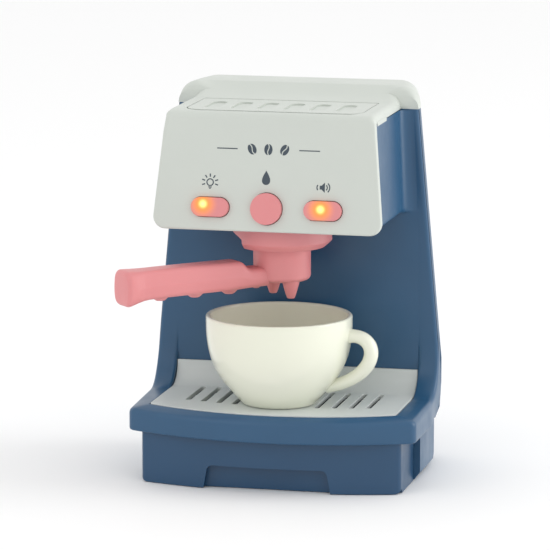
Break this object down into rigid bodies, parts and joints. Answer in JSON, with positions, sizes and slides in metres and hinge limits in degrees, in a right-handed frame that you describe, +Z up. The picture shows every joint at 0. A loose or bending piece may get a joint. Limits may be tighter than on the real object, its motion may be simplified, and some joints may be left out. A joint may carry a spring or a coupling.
{
  "type": "toy coffee maker",
  "caption": "Toy espresso machine with a column, an overhanging head with push buttons, a twisting portafilter, a slotted drip tray, a pull-out water drawer and a loose cup.",
  "frame": {"origin": "on the ground, under the middle of the whole footprint", "axes": "+Z up, +X to the right seen from the front, the front faces -Y"},
  "size_m": [0.1706, 0.1673, 0.2265],
  "materials": {
    "navy_shell": "navy blue moulded ABS, satin with a soft gloss",
    "white_cover": "off-white moulded ABS, satin",
    "pink_plastic": "salmon pink moulded ABS, satin gloss",
    "grey_tray": "pale grey moulded plastic, matt",
    "cream_cup": "cream moulded plastic, glossy",
    "clear_tank": "translucent natural polypropylene",
    "hose_clear": "clear silicone hose",
    "black_plastic": "black moulded plastic, matt",
    "black_rubber": "black rubber",
    "steel": "zinc plated steel",
    "green_board": "green circuit board",
    "led_lens": "warm white LED lens",
    "cell_wrap": "plain bronze battery sleeve"
  },
  "bodies": {
    "case": {"front_shell": "navy_shell", "rear_shell": "navy_shell", "base_tub": "navy_shell", "rubber_feet": "black_rubber", "case_screws": "steel", "base_screws": "steel", "top_cover": "white_cover", "tank_seal": "black_rubber", "water_tank": "clear_tank", "fascia": "white_cover", "light_spring": "steel", "water_spring": "steel", "sound_spring": "steel", "button_board": "green_board", "tact_switches": "black_plastic", "button_leds": "led_lens", "speaker": "black_plastic", "inlet_hose": "hose_clear", "pump_housing": "black_plastic", "pump_motor": "steel", "outlet_hose": "hose_clear", "shower_nozzle": "white_cover", "brew_collar": "pink_plastic", "battery_box": "black_plastic", "batteries": "cell_wrap", "battery_contacts": "steel"},
    "lid": {"tank_lid": "white_cover"},
    "light_key": {"light_button": "pink_plastic"},
    "water_key": {"water_button": "pink_plastic"},
    "sound_key": {"sound_button": "pink_plastic"},
    "impeller": {"pump_impeller": "black_plastic"},
    "portafilter": {"portafilter_bowl": "pink_plastic", "portafilter_handle": "pink_plastic"},
    "tray": {"tray_insert": "grey_tray"},
    "cup": {"toy_cup": "cream_cup"},
    "drawer": {"water_drawer": "navy_shell"},
    "door": {"battery_door": "navy_shell", "door_screw": "steel"}
  },
  "joints": [
    {"name": "lid_hinge", "type": "hinge", "parent": "case", "child": "lid", "pos_m": [0, 0.0186, 0.2164], "axis": [-1, 0, 0], "range_deg": [0, 95]},
    {"name": "light_press", "type": "slide", "parent": "case", "child": "light_key", "axis": [0, 0.9907, -0.1357], "range_m": [0, 0.002], "stiffness_N_per_m": 150, "springref_m": -0.004, "deforming": ["light_spring"]},
    {"name": "water_press", "type": "slide", "parent": "case", "child": "water_key", "axis": [0, 0.9907, -0.1357], "range_m": [0, 0.002], "stiffness_N_per_m": 150, "springref_m": -0.004, "deforming": ["water_spring"]},
    {"name": "sound_press", "type": "slide", "parent": "case", "child": "sound_key", "axis": [0, 0.9907, -0.1357], "range_m": [0, 0.002], "stiffness_N_per_m": 150, "springref_m": -0.004, "deforming": ["sound_spring"]},
    {"name": "impeller_spin", "type": "hinge", "parent": "case", "child": "impeller", "pos_m": [0.009, 0.056, 0.1798], "axis": [0, 1, 0], "continuous": true},
    {"name": "portafilter_twist", "type": "hinge", "parent": "case", "child": "portafilter", "pos_m": [0, -0.004, 0.13], "axis": [0, 0, 1], "range_deg": [-38, 45]},
    {"name": "tray_lift", "type": "slide", "parent": "case", "child": "tray", "axis": [0, 0, 1], "range_m": [0, 0.006]},
    {"name": "cup_slide", "type": "slide", "parent": "tray", "child": "cup", "axis": [0, -1, 0], "range_m": [0, 0.06]},
    {"name": "drawer_pull", "type": "slide", "parent": "case", "child": "drawer", "axis": [0, -1, 0], "range_m": [0, 0.055]},
    {"name": "door_pull", "type": "slide", "parent": "case", "child": "door", "axis": [0, 1, 0], "range_m": [0, 0.02]}
  ]
}
